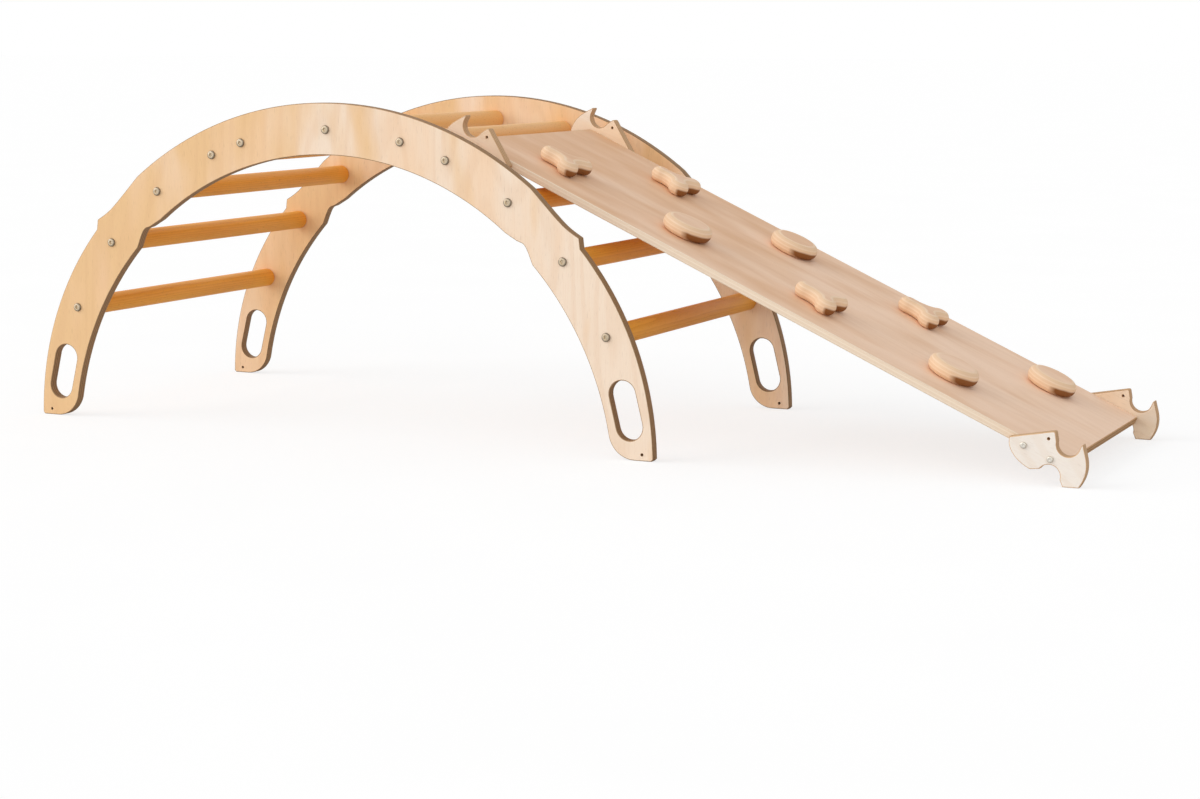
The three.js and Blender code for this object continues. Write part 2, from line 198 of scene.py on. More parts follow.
# Where in its log a piece was cut from, in metres: within this reach, and a dowel this near to the pith
LOG_REACH = 9
PITH_ASIDE = 0.04
PITH_DEPTHS = (0.012, 0.05)

# Figure of the wood
VENEER_RINGS = 15
PORE_COLOUR = "#8a5a34"
PLY_WANDER = 0.16
SEAM_WIDTH = 0.14
SEAM_STRENGTH = 0.75
RING_SPACING = 3
RING_WANDER = 6
RING_WEIGHT = 0.35
FIBRE_WEIGHT = 0.35
TINT_WEIGHT = 0.7
RAY_STRENGTH = 0.45

# Painted shade in dark brown, low on a hold's rim: how far below its top, and facing how far down the ramp
RIM_SHADE_DEPTH = 10
RIM_SHADE_BLUR = 3
RIM_SHADE_FACING = (0.15, 0.42)

# A screw head's painted highlight on its flat gives way to painted shade on its rim between these shares of
# its diameter
PAINTED_RIM_SHADE_SHARES = (0.36, 0.43)
ZINC_WANDER = 0.5

# Edges that meet at more than this many degrees are drawn sharp
SHARP_ANGLE = 35
SCREW_SHARP_ANGLE = 40
MITRE_LIMIT = 0.5

# Studio, in metres and degrees, with the lens in millimetres. The floor has one shade for light and
# one for the camera
FLOOR_REACH = 80
FLOOR_DROP = 0.0004
FLOOR_SHADES = (0.7, 0.3)
FLOOR_GRAIN = 0.02
FLOOR_GLOW = 0.72
WORLD_LEVEL = 0.62
CAMERA_PLACE = (1.5639, -3.3428, 0.5813)
CAMERA_AZIMUTH = 24.863
CAMERA_ELEVATION = 8.388
CAMERA_ROLL = 0.082
CAMERA_LENS = 72.74
CAMERA_SENSOR = 36
CAMERA_FAR = 300

random.seed(41)


# Where the frame has its pieces

def middle(node):
    low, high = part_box(node)
    return (low + high) / 2


def half_depth(node):
    low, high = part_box(node)
    return (high.y - low.y) / 2


ARCH_X = middle("near_side_panel").x / MM
ARC_FOOT_REACH = PANEL_SPAN / 2 + LEG_NARROWING
ARC_RADIUS = (PANEL_HEIGHT ** 2 + ARC_FOOT_REACH ** 2) / (2 * PANEL_HEIGHT)
ARC_CENTRE = Vector((0, PANEL_HEIGHT - ARC_RADIUS))
HALF_ANGLE = math.acos(-ARC_CENTRE.y / ARC_RADIUS)
INNER_RADIUS = ARC_RADIUS - PANEL_BAND
LEG_INNER_RADIUS = INNER_RADIUS - LEG_INSET

# The ramp's own frame: X runs out past its lower end, Y across and Z up from its top face
slope = middle("disc_hold_near_3") - middle("disc_hold_near_1")
RAMP_ANGLE = math.atan2(slope.z, -slope.x)
RAMP = (
    Matrix.Translation(middle("ramp_board"))
    @ Matrix.Rotation(RAMP_ANGLE, 4, "Y")
    @ Matrix.Translation(Vector((BOARD_LENGTH / 2, 0, BOARD_THICKNESS / 2)) * MM)
)
DOWN_RAMP = tuple(RAMP.to_3x3().col[0])


# Materials

def linear(code):
    """An sRGB hex colour as linear RGBA."""
    channels = [int(code[i:i + 2], 16) / 255 for i in (1, 3, 5)]
    return [c / 12.92 if c <= 0.04045 else ((c + 0.055) / 1.055) ** 2.4 for c in channels] + [1]


def add(tree, kind, *inputs, out=None, **named):
    """A shader node, of which the output in use comes back.

    Inputs are constants or other nodes' outputs, in order or by socket name. A name in small letters
    is a setting.
    """
    made = tree.nodes.new("ShaderNode" + kind)
    for name, value in named.items():
        if name.islower():
            setattr(made, name, value)
    links = list(zip([socket for socket in made.inputs if socket.enabled], inputs))
    by_name = [(name, value) for name, value in named.items() if not name.islower()]
    links += [(made.inputs[name.replace("_", " ")], value) for name, value in by_name]
    for socket, value in links:
        if isinstance(value, bpy.types.NodeSocket):
            tree.links.new(value, socket)
        else:
            socket.default_value = value
    if out:
        return made.outputs[out]
    return next((socket for socket in made.outputs if socket.enabled), None)


def calculate(tree, operation, *inputs):
    return add(tree, "Math", *inputs, operation=operation)


def rescale(tree, value, low, high, start=0.0, end=1.0, **named):
    """The value carried from the range low to high to the range start to end, and kept inside it."""
    return add(tree, "MapRange", value, low, high, start, end, **named)


def mixed(tree, factor, first, second):
    """Two colours mixed. Each is a hex code or a node's output."""
    first, second = [linear(colour) if isinstance(colour, str) else colour for colour in (first, second)]
    return add(tree, "Mix", factor, first, second, data_type="RGBA")


def place_in_stock(tree):
    """The place in the sheet, bar or log that a piece was cut from, in metres."""
    return add(tree, "Attribute", out="Vector", attribute_name="stock")


def tone_of_piece(tree):
    return add(tree, "Attribute", out="Fac", attribute_name="tone")


def noise(tree, along, across, through, **named):
    """Noise that is fixed to the stock, in cycles per metre each way."""
    place = add(tree, "VectorMath", place_in_stock(tree), (along, across, through), operation="MULTIPLY")
    return add(tree, "TexNoise", place, Scale=1.0, **named)


def distance_from_axis(tree, across):
    """How far a place in the stock lies from its axis. Across has ones for the two directions across it."""
    flat = add(tree, "VectorMath", place_in_stock(tree), across, operation="MULTIPLY")
    return add(tree, "VectorMath", flat, operation="LENGTH")


def new_material(name):
    made = bpy.data.materials.new(name)
    made.use_nodes = True
    made.node_tree.nodes.clear()
    return made, made.node_tree


def surface(tree, colour, rough, height, strength, distance=0.2, invert=False, **named):
    """The end of a material: its colour and sheen, over a fine relief."""
    bump = add(tree, "Bump", Strength=strength, Distance=distance * MM, Height=height, invert=invert)
    shader = add(tree, "BsdfPrincipled", Base_Color=colour, Roughness=rough, Normal=bump, **named)
    add(tree, "OutputMaterial", Surface=shader)


def rotary_veneer(name, pale, warm, tan, line, flame, fleck):
    """Face veneer of birch plywood, peeled from the log, sanded and oiled.

    Peeling follows the growth rings, so they show as wide flames and loops: the contour lines of a
    slow field. The sheet runs from pale to warm and tan in bands 90 mm wide. Over them lie short dark
    pores along the grain, drawn 1.5 mm wide so that they show. Flame and fleck are how strongly the
    rings and the pores show.
    """
    made, tree = new_material(name)
    tone = tone_of_piece(tree)
    slow = noise(tree, 1.5, 8, 8, Detail=1.5, Roughness=0.45)
    band = noise(tree, 2.2, 11, 11, Detail=3.0, Roughness=0.55)
    patch = noise(tree, 5, 17, 17, Detail=2.0)
    fibre = noise(tree, 28, 520, 520, Detail=2.0, Roughness=0.6)
    pores = noise(tree, 75, 700, 700, Detail=1.0)
    rings = calculate(tree, "SINE", calculate(tree, "MULTIPLY", slow, FULL * VENEER_RINGS))
    rings = rescale(tree, rings, -0.2, 1.0, 0.0, flame, interpolation_type="SMOOTHSTEP")
    pores = rescale(tree, pores, 0.63, 0.83, 0.0, fleck)
    streak = rescale(tree, fibre, 0.45, 0.8, 0.0, flame)
    warmth = rescale(tree, calculate(tree, "ADD", band, tone), 0.3, 0.7)
    tanned = rescale(tree, calculate(tree, "ADD", patch, tone), 0.42, 0.72)
    colour = mixed(tree, warmth, pale, warm)
    for factor, shade in ((tanned, tan), (rings, line), (streak, line), (pores, PORE_COLOUR)):
        colour = mixed(tree, factor, colour, shade)
    rough = rescale(tree, fibre, 0.0, 1.0, 0.5, 0.68)
    height = calculate(tree, "SUBTRACT", fibre, pores)
    surface(tree, colour, rough, height, strength=0.3, IOR=1.42)
    return made


def ply_edge(name, long_grain, end_grain, glue, plies, thickness, painted_rim_shade=None):
    """Cut edge of birch plywood: plies of long and end grain in turn, with dark glue between them.

    Real plies are 1.4 mm. They are drawn a little thicker, so that they show in a view of the whole.
    Its last argument is painted shade, a dark brown low on a hold's rim where it faces the ramp's foot.
    The rest of the rim is sanded.
    """
    made, tree = new_material(name)
    through = add(tree, "SeparateXYZ", place_in_stock(tree), out="Z")
    wander = noise(tree, 40, 40, 0, Detail=1.0)
    layer = calculate(tree, "MULTIPLY", through, plies / (thickness * MM))
    layer = calculate(tree, "MULTIPLY_ADD", wander, PLY_WANDER, layer)
    even = calculate(tree, "GREATER_THAN", calculate(tree, "PINGPONG", layer, 1.0), 0.5)
    seam = calculate(tree, "PINGPONG", calculate(tree, "SUBTRACT", layer, 0.5), 0.5)
    seam = rescale(tree, seam, 0.0, SEAM_WIDTH, SEAM_STRENGTH, 0.0)
    long_fibre = noise(tree, 60, 60, 1800, Roughness=0.6)
    end_fibre = noise(tree, 900, 900, 900, Roughness=0.6)
    pale = mixed(tree, rescale(tree, long_fibre, 0.3, 0.75), long_grain, end_grain)
    dark = mixed(tree, rescale(tree, end_fibre, 0.3, 0.9), end_grain, glue)
    colour = mixed(tree, even, pale, dark)
    colour = mixed(tree, seam, colour, glue)
    # Painted shade: dark brown low on the rim, where it faces the ramp's foot
    if painted_rim_shade:
        low_on_rim = calculate(tree, "MULTIPLY_ADD", wander, RIM_SHADE_BLUR * MM, through)
        low_on_rim = rescale(tree, low_on_rim, RIM_SHADE_DEPTH * MM, (RIM_SHADE_DEPTH + RIM_SHADE_BLUR) * MM)
        normal = add(tree, "TexCoord", out="Normal")
        facing = add(tree, "VectorMath", normal, DOWN_RAMP, operation="DOT_PRODUCT")
        facing = rescale(tree, facing, *RIM_SHADE_FACING)
        colour = mixed(tree, calculate(tree, "MULTIPLY", low_on_rim, facing), colour, painted_rim_shade)
    height = calculate(tree, "MULTIPLY_ADD", end_fibre, even, seam)
    surface(tree, colour, 0.7, height, strength=0.3, invert=True, IOR=1.4)
    return made


def turned_dowel(name, early, late, pore, painted_light_pale):
    """Turned and oiled hardwood dowel. Its growth rings meet the round surface as long streaks.

    A dowel with a low enough tone is mixed towards a pale colour, as painted light.
    """
    made, tree = new_material(name)
    tone = tone_of_piece(tree)
    wander = noise(tree, 3, 20, 20)
    tint = noise(tree, 4, 30, 30)
    fibre = noise(tree, 30, 800, 800, Roughness=0.6)
    rays = noise(tree, 160, 900, 900, Detail=1.0)
    rays = rescale(tree, rays, 0.62, 0.82, 0.0, RAY_STRENGTH)
    radius = calculate(tree, "MULTIPLY_ADD", wander, RING_WANDER * MM, distance_from_axis(tree, (0, 1, 1)))
    ring = calculate(tree, "FRACT", calculate(tree, "MULTIPLY", radius, 1 / (RING_SPACING * MM)))
    ring = calculate(tree, "POWER", ring, 2.0)
    streak = tone
    for part, weight in ((ring, RING_WEIGHT), (fibre, FIBRE_WEIGHT), (tint, TINT_WEIGHT)):
        streak = calculate(tree, "MULTIPLY_ADD", part, weight, streak)
    colour = mixed(tree, rescale(tree, streak, 0.4, 1.1), early, late)
    colour = mixed(tree, rescale(tree, tone, ALL_PAINTED_LIGHT, PAINTED_LIGHT_BELOW, 1.0, 0.0), colour, painted_light_pale)
    colour = mixed(tree, rays, colour, pore)
    rough = rescale(tree, fibre, 0.0, 1.0, 0.42, 0.58)
    height = calculate(tree, "SUBTRACT", fibre, rays)
    surface(tree, colour, rough, height, strength=0.25, IOR=1.45)
    return made


def zinc_plate(name, face, rim, head):
    """Zinc on steel, with a painted reflection on the flat of the head and painted shade in grey on its
    bevelled rim.
    """
    made, tree = new_material(name)
    spots = noise(tree, 600, 600, 600, Detail=3.0, Roughness=0.6)
    radius = calculate(tree, "MULTIPLY_ADD", spots, ZINC_WANDER * MM, distance_from_axis(tree, (1, 1, 0)))
    shaded_rim = rescale(tree, radius, *[share * head * MM for share in PAINTED_RIM_SHADE_SHARES])
    colour = mixed(tree, shaded_rim, face, rim)
    rough = rescale(tree, spots, 0.3, 0.7, 0.3, 0.5)
    surface(tree, colour, rough, spots, strength=0.15, distance=0.1, Metallic=1.0)
    return made


PANEL_FACE = rotary_veneer(
    "oiled_birch_plywood_panel_face", "#f9e3cc", "#f9cfa4", "#f0c692", "#dfae7e", flame=0.14, fleck=0.25)
BOARD_FACE = rotary_veneer(
    "sanded_birch_plywood_board_face", "#fbd9bd", "#f1c8a5", "#e7b88f", "#d4a47a", flame=0.08, fleck=0.2)
HOOK_FACE = rotary_veneer(
    "sanded_birch_plywood_hook_face", "#f6ece1", "#f8dfc2", "#f3d3ae", "#dcb58a", flame=0.1, fleck=0.2)
# The panels' cut edges are brown, and drawn darker than the board's and hooks' edges as painted shade
PANEL_EDGE = ply_edge(
    "laser_cut_and_shade_darkened_birch_plywood_panel_edge", "#b8926c", "#9b7852", "#6a4e34",
    plies=7, thickness=PANEL_THICKNESS)
BOARD_EDGE = ply_edge(
    "sanded_birch_plywood_board_side", "#f8e4ce", "#f3ddc4", "#e9d1b4",
    plies=5, thickness=BOARD_THICKNESS)
# The board's ends are a darker brown than its sides, as painted shade
BOARD_END_SHADE = ply_edge(
    "shade_darkened_birch_plywood_board_end", "#cfa274", "#b88a5a", "#8c663e",
    plies=5, thickness=BOARD_THICKNESS)
HOOK_EDGE = ply_edge(
    "sanded_birch_plywood_hook_edge", "#e4be94", "#cda47a", "#9c7650",
    plies=7, thickness=HOOK_THICKNESS)
# The holds' edges carry a painted shade in dark brown, low on the side that faces the ramp's foot
HOLD_EDGE = ply_edge(
    "rounded_birch_plywood_hold_edge", "#f9dcc0", "#f4d2ae", "#ecc8a2",
    plies=9, thickness=HOLD_THICKNESS, painted_rim_shade="#8c5729")
RUNG_WOOD = turned_dowel("oiled_hardwood_dowel", "#f7ae3e", "#de8b1c", pore="#965614", painted_light_pale="#f2c795")
# The rung screws' tan flat is a painted reflection of the wood around them, and their grey rim is painted
# shade
RUNG_SCREW_ZINC = zinc_plate("zinc_plated_steel_painted_reflection_and_rim_shade", "#d3c1a6", "#8e8272", RUNG_SCREW["head"])
# The ramp's screws are painted near white all over, as painted light
RAMP_SCREW_ZINC = zinc_plate("zinc_plated_steel_painted_light", "#ebe6dc", "#cfc8ba", PLATE_SCREW["head"])


# Meshes

class Shape:
    """Rings of points with their places in the stock, and the faces between them with their finishes."""

    def __init__(self, lay, stock):
        self.lay = lay
        self.stock = stock
        self.points = []
        self.faces = []
        self.finishes = []
        self.flat = []

    def ring(self, points):
        start = len(self.points)
        self.points.extend(points)
        return list(range(start, start + len(points)))

    def face(self, corners, finish, flat=False):
        self.faces.append(corners)
        self.finishes.append(finish)
        self.flat.append(flat)

    def wall(self, rings, finish):
        """Quads from each ring to the next."""
        for lower, upper in zip(rings, rings[1:]):
            for i, corner in enumerate(lower):
                after = (i + 1) % len(lower)
                self.face((corner, lower[after], upper[after], upper[i]), finish)

    def fan(self, ring, point, finish):
        """Triangles from a ring to a point in its middle."""
        hub = self.ring([point])[0]
        for i, corner in enumerate(ring):
            self.face((corner, ring[(i + 1) % len(ring)], hub), finish, True)

    def sheet(self, rings, finish):
        """A flat face between an outline and its holes."""
        corners = [corner for ring in rings for corner in ring]
        loops = [[Vector((self.points[c][0], self.points[c][1], 0)) for c in ring] for ring in rings]
        for triangle in tessellate_polygon(loops):
            self.face([corners[i] for i in triangle], finish, True)

    def piece(self, name, finishes, body, nodes, slot, tone=0.0, sharp=SHARP_ANGLE):
        """The shape as an object that rides on a body, in place of the frame's nodes."""
        mesh = bpy.data.meshes.new(name)
        mesh.from_pydata([self.lay(*p) for p in self.points], [], self.faces)
        stock = mesh.attributes.new("stock", "FLOAT_VECTOR", "POINT")
        for datum, point in zip(stock.data, self.points):
            datum.vector = self.stock(*point)
        tones = mesh.attributes.new("tone", "FLOAT", "POINT")
        for datum, point in zip(tones.data, self.points):
            datum.value = tone(*point) if callable(tone) else tone
        work = bmesh.new()
        work.from_mesh(mesh)
        bmesh.ops.recalc_face_normals(work, faces=work.faces)
        work.to_mesh(mesh)
        work.free()
        mesh.set_sharp_from_angle(angle=math.radians(sharp))
        for polygon, finish, flat in zip(mesh.polygons, self.finishes, self.flat):
            polygon.material_index = finish
            polygon.use_smooth = not flat
        for finish in finishes:
            mesh.materials.append(finish)
        made = bpy.data.objects.new(name, mesh)
        bpy.context.scene.collection.objects.link(made)
        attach(made, body)
        if nodes:
            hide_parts(*nodes)


def around(centre, radius, angle):
    """A point on a circle. Angles run clockwise from straight up."""
    return Vector((centre[0] + radius * math.sin(angle), centre[1] + radius * math.cos(angle)))


def arc(centre, radius, start, end, steps):
    return [around(centre, radius, start + (end - start) * i / steps) for i in range(steps + 1)]


def circle(centre, diameter, sides):
    return arc(centre, diameter / 2, 0, FULL, sides)[:-1]


def angle_of(point, centre):
    return math.atan2(point[0] - centre[0], point[1] - centre[1])


def spline(points, steps):
    """A smooth curve through the points, as the frame draws its own."""
    made = []
    last = len(points) - 1
    for i in range(last):
        before, start = points[max(i - 1, 0)], points[i]
        end, after = points[i + 1], points[min(i + 2, last)]
        leave, reach = (end - before) / 2, (after - start) / 2
        for step in range(steps):
            t = step / steps
            made.append(
                (2 * start - 2 * end + leave + reach) * t ** 3
                + (3 * end - 3 * start - 2 * leave - reach) * t ** 2 + leave * t + start)
    return made + [points[-1]]


def bezier(points, steps):
    """A curve from the first point to the last. Three points give one pull, and four give two."""
    made = []
    degree = len(points) - 1
    for step in range(1, steps + 1):
        t = step / steps
        place = Vector((0, 0))
        for i, point in enumerate(points):
            place += math.comb(degree, i) * (1 - t) ** (degree - i) * t ** i * Vector(point)
        made.append(place)
    return made


def inset(loop, amount):
    """The loop drawn into the material by that amount. Outlines and holes run opposite ways round."""
    made = []
    for i, point in enumerate(loop):
        before = (point - loop[i - 1]).normalized()
        after = (loop[(i + 1) % len(loop)] - point).normalized()
        first = Vector((before.y, -before.x))
        second = Vector((after.y, -after.x))
        made.append(point + (first + second) / max(1 + first.dot(second), MITRE_LIMIT) * amount)
    return made


def turn_way(loop, clockwise):
    """The loop run the way that is asked for."""
    area = sum(a.x * b.y - b.x * a.y for a, b in zip(loop, loop[1:] + loop[:1]))
    return loop if (area < 0) == clockwise else loop[::-1]


def plate(outline, holes, thickness, lay, stock, rounding, edge_steps=EDGE_STEPS):
    """A plate cut from sheet. Holes are (loop, rounding). Depth runs down from the top face.

    Its faces have the first of the piece's finishes, and its cut edges the second.
    """
    shape = Shape(lay, stock)
    tops, bottoms = [], []
    loops = [(turn_way(outline, True), rounding)]
    loops += [(turn_way(loop, False), size) for loop, size in holes]
    for loop, size in loops:
        rim = []
        for step in range(edge_steps + 1):
            turn = QUARTER * step / edge_steps
            rim.append((size * (1 - math.sin(turn)), size * (1 - math.cos(turn))))
        rim += [(into, thickness - depth) for into, depth in rim[::-1]]
        rings = [shape.ring([(p.x, p.y, depth) for p in inset(loop, into)]) for into, depth in rim]
        shape.wall(rings, 1)
        tops.append(rings[0])
        bottoms.append(rings[-1])
    shape.sheet(tops, 0)
    shape.sheet(bottoms, 0)
    return shape


def turned(profile, lay, stock, sides, socket=()):
    """A turned piece from its profile of (radius, along). The rings numbered in socket are hexagons."""
    sixth = FULL / 6
    shape = Shape(lay, stock)
    rings = []
    for number, (radius, along) in enumerate(profile):
        ring = []
        for side in range(sides):
            turn = FULL * side / sides
            reach = radius
            if number in socket:
                reach = radius / math.cos((turn + sixth / 2) % sixth - sixth / 2)
            ring.append((reach * math.cos(turn), reach * math.sin(turn), along))
        rings.append(shape.ring(ring))
    shape.wall(rings, 0)
    shape.fan(rings[0], (0, 0, profile[0][1]), 0)
    shape.fan(rings[-1], (0, 0, profile[-1][1]), 0)
    return shape


def rounded_rim(radius, along, size, steps):
    """Profile of a rounded rim, from its flat end to its side. Size is below zero at the near end."""
    made = []
    for step in range(steps + 1):
        turn = QUARTER * step / steps
        made.append((radius - abs(size) * (1 - math.sin(turn)), along - size * (1 - math.cos(turn))))
    return made


def drift():
    """A place in the log for one piece, so that no two pieces show the same figure."""
    return Vector((random.uniform(-LOG_REACH, LOG_REACH), random.uniform(-LOG_REACH, LOG_REACH), 0))


# Side panels

def centre_through(start, end, radius):
    """Centre of the arc of that radius which runs through both points."""
    half = (end - start) / 2
    inward = Vector((half.y, -half.x)).normalized()
    return start + half + inward * math.sqrt(radius ** 2 - half.length_squared)


LEG_TOP = around(ARC_CENTRE, ARC_RADIUS - STOP_STEP, STOP_SHARES["end"] * HALF_ANGLE)
LEG_CENTRE = centre_through(LEG_TOP, Vector((PANEL_SPAN / 2, 0)), LEG_RADIUS)


def panel_half():
    """Right half of a panel's outline, from the crown round the foot and back to the crown."""
    def at(share, radius):
        return around(ARC_CENTRE, radius, share * HALF_ANGLE)

    crown = arc(ARC_CENTRE, ARC_RADIUS, 0, STOP_SHARES["start"] * HALF_ANGLE, ARC_STEPS)
    stop = spline([
        at(STOP_SHARES["start"], ARC_RADIUS),
        at(STOP_SHARES["dip"], ARC_RADIUS - STOP_DIP),
        at(STOP_SHARES["peak"], ARC_RADIUS + STOP_RISE),
    ], STOP_STEPS)
    sole_angle = math.acos((FOOT_CORNER - LEG_CENTRE.y) / LEG_RADIUS)
    leg = arc(LEG_CENTRE, LEG_RADIUS, angle_of(LEG_TOP, LEG_CENTRE), sole_angle, ARC_STEPS)
    sole = Vector((PANEL_SPAN / 2 - FOOT_CORNER, 0))
    heel_x = math.sqrt((LEG_INNER_RADIUS + FOOT_ROUND) ** 2 - (FOOT_ROUND - ARC_CENTRE.y) ** 2)
    heel_centre = Vector((heel_x, FOOT_ROUND))
    heel_angle = angle_of(heel_centre, ARC_CENTRE)
    heel = arc(heel_centre, FOOT_ROUND, HALF, HALF + heel_angle, HEEL_STEPS)
    shin = arc(ARC_CENTRE, LEG_INNER_RADIUS, heel_angle, NOTCH_SHARES["end"] * HALF_ANGLE, ARC_STEPS)
    notch = spline([
        at(NOTCH_SHARES["end"], LEG_INNER_RADIUS),
        at(NOTCH_SHARES["peak"], INNER_RADIUS + NOTCH_DEPTH),
        at(NOTCH_SHARES["rise"], INNER_RADIUS + NOTCH_DEPTH / 2),
        at(NOTCH_SHARES["start"], INNER_RADIUS),
    ], NOTCH_STEPS)
    under = arc(ARC_CENTRE, INNER_RADIUS, NOTCH_SHARES["start"] * HALF_ANGLE, 0, ARC_STEPS)
    return crown + stop[1:] + leg + [sole] + heel + shin[1:] + notch[1:] + under[1:]


def hand_slot(side):
    """A hand slot follows the leg, midway between its edges."""
    inner_x = math.sqrt(LEG_INNER_RADIUS ** 2 - (SLOT_HEIGHT - ARC_CENTRE.y) ** 2)
    outer_x = LEG_CENTRE.x + math.sqrt(LEG_RADIUS ** 2 - (SLOT_HEIGHT - LEG_CENTRE.y) ** 2)
    centre = Vector(((inner_x + outer_x) / 2, SLOT_HEIGHT))
    radius = (centre - ARC_CENTRE).length
    angle = angle_of(centre, ARC_CENTRE)
    swing = (SLOT_LENGTH - SLOT_WIDTH) / 2 / radius
    ends = []
    for turn, way in ((angle - swing, -HALF), (angle + swing, 0)):
        start = turn + way
        ends += arc(around(ARC_CENTRE, radius, turn), SLOT_WIDTH / 2, start, start + HALF, SLOT_STEPS)
    return [Vector((side * p.x, p.y)) for p in ends]


def panel(side, node):
    """A side panel. Side is -1 for the near one and 1 for the far one."""
    half = panel_half()
    outline = half + [Vector((-p.x, p.y)) for p in half[1:-1][::-1]]
    bore = RUNG_SCREW["shank"] + 2 * SCREW_HOLE_PLAY
    holes = []
    for name in RUNGS:
        place = middle("rung_" + name) / MM
        holes.append((circle((place.x - ARCH_X, place.z), bore, RUNG_HOLE_SIDES), HOLE_ROUND))
    for way in (-1, 1):
        corner = (way * (PANEL_SPAN / 2 - CORNER_HOLE_INSET), CORNER_HOLE_HEIGHT)
        holes.append((hand_slot(way), SLOT_ROUND))
        holes.append((circle(corner, CORNER_HOLE, HOLE_SIDES), HOLE_ROUND))
    outer = side * (abs(middle(node).y) + half_depth(node)) / MM
    log = drift()

    def lay(x, z, depth):
        return Vector((ARCH_X + x, outer - side * depth, z)) * MM

    def stock(x, z, depth):
        return Vector((z, x, depth)) * MM + log

    def tone(x, z, depth):
        """Painted light: the near panel pales all along towards the ramp's foot, the far one only in its
        last leg.
        """
        if side < 0:
            return -NEAR_PANEL_PAINTED_LIGHT * x / PANEL_SPAN
        return FAR_PANEL_PAINTED_WARMTH - FAR_LEG_PAINTED_LIGHT * max(x / PANEL_SPAN - FAR_LEG_PAINTED_LIGHT_FROM, 0)

    shape = plate(outline, holes, PANEL_THICKNESS, lay, stock, PANEL_ROUND)
    shape.piece(node + "_plywood", [PANEL_FACE, PANEL_EDGE], "arch", [node], "panel_plywood", tone)


panel(-1, "near_side_panel")
panel(1, "far_side_panel")


# Rungs and their screws

def rung(name):
    node = "rung_" + name
    place = middle(node)
    end = half_depth(node) / MM
    bore = RUNG_SCREW["shank"] / 2 + SCREW_HOLE_PLAY
    bore_end = end - (RUNG_SCREW["length"] - PANEL_THICKNESS + RUNG_BORE_SPARE)
    radius = RUNG_DIAMETER / 2
    near = rounded_rim(radius, -end, -RUNG_ROUND, RUNG_EDGE_STEPS)
    far = rounded_rim(radius, end, RUNG_ROUND, RUNG_EDGE_STEPS)[::-1]
    profile = [(bore, -bore_end), (bore, -end)] + near + far + [(bore, end), (bore, bore_end)]
    log = Vector((
        random.uniform(-LOG_REACH, LOG_REACH),
        random.uniform(-PITH_ASIDE, PITH_ASIDE),
        random.uniform(*PITH_DEPTHS)))

    def lay(a, b, along):
        return place + Vector((a, along, b)) * MM

    def stock(a, b, along):
        return Vector((along, a, b)) * MM + log

    shape = turned(profile, lay, stock, RUNG_SIDES)
    tone = random.uniform(-RUNG_TONE_SPREAD, RUNG_TONE_SPREAD) - RUNG_PAINTED_LIGHT.get(name, 0)
    shape.piece(node + "_dowel", [RUNG_WOOD], "arch", [node], "rung_wood", tone)


def screw(name, size, seat, body, nodes, finish):
    """A screw, turned by chance. Its head sits on the seat's XZ plane and its point lies along +Y."""
    head = size["head"] / 2
    inner = size["socket"] / 2
    top = -size["height"]
    profile = [
        (inner * SOCKET_FLOOR_SHARE, top + size["depth"]),
        (inner, top + SOCKET_BEVEL),
        (inner + SOCKET_BEVEL, top),
    ]
    socket = range(len(profile))
    flat = head * HEAD_FLAT_SHARE
    for step in range(HEAD_STEPS + 1):
        turn = QUARTER * step / HEAD_STEPS
        height = HEAD_RIM_SHARE + (1 - HEAD_RIM_SHARE) * math.cos(turn)
        profile.append((flat + (head - flat) * math.sin(turn), top * height))
    shank = size["shank"] / 2
    profile += [
        (head, 0),
        (shank, 0),
        (shank, size["length"] - size["tip"]),
        (shank * SCREW_POINT_SHARE, size["length"]),
    ]
    turned_seat = seat @ Matrix.Rotation(random.uniform(0, HALF), 4, "Y")

    def lay(a, b, along):
        return turned_seat @ (Vector((a, along, b)) * MM)

    def stock(a, b, along):
        return Vector((a, b, along)) * MM

    shape = turned(profile, lay, stock, SCREW_SIDES, socket)
    shape.piece(name, [finish], body, nodes, "zinc_screw", sharp=SCREW_SHARP_ANGLE)


def seat_at(point, far):
    """A seat for a screw that points to the object's middle, from its near or its far side."""
    turn = Matrix.Rotation(HALF if far else 0, 4, "Z")
    return Matrix.Translation(Vector(point)) @ turn


outer_face = half_depth("near_side_panel") + abs(middle("near_side_panel").y)
for name in RUNGS:
    rung(name)
    place = middle("rung_" + name)
    for side, way in (("near", -1), ("far", 1)):
        node = f"rung_{name}_screw_{side}"
        seat = seat_at((place.x, way * (outer_face + SEAT_GAP * MM), place.z), way > 0)
        screw(node + "_button_head", RUNG_SCREW, seat, "arch", [node], RUNG_SCREW_ZINC)


# Ramp board

def on_ramp(x, y, z):
    return RAMP @ (Vector((x, y, z)) * MM)


def hold_places():
    """The holds' nodes, kinds and places on the board, read back from the frame."""
    home = RAMP.inverted()
    places = []
    for row in range(1, HOLD_ROWS + 1):
        kind = "disc" if row % 2 else "clover"
        for side in ("near", "far"):
            node = f"{kind}_hold_{side}_{row}"
            places.append((node, kind, home @ middle(node + "_screw") / MM))
    return places


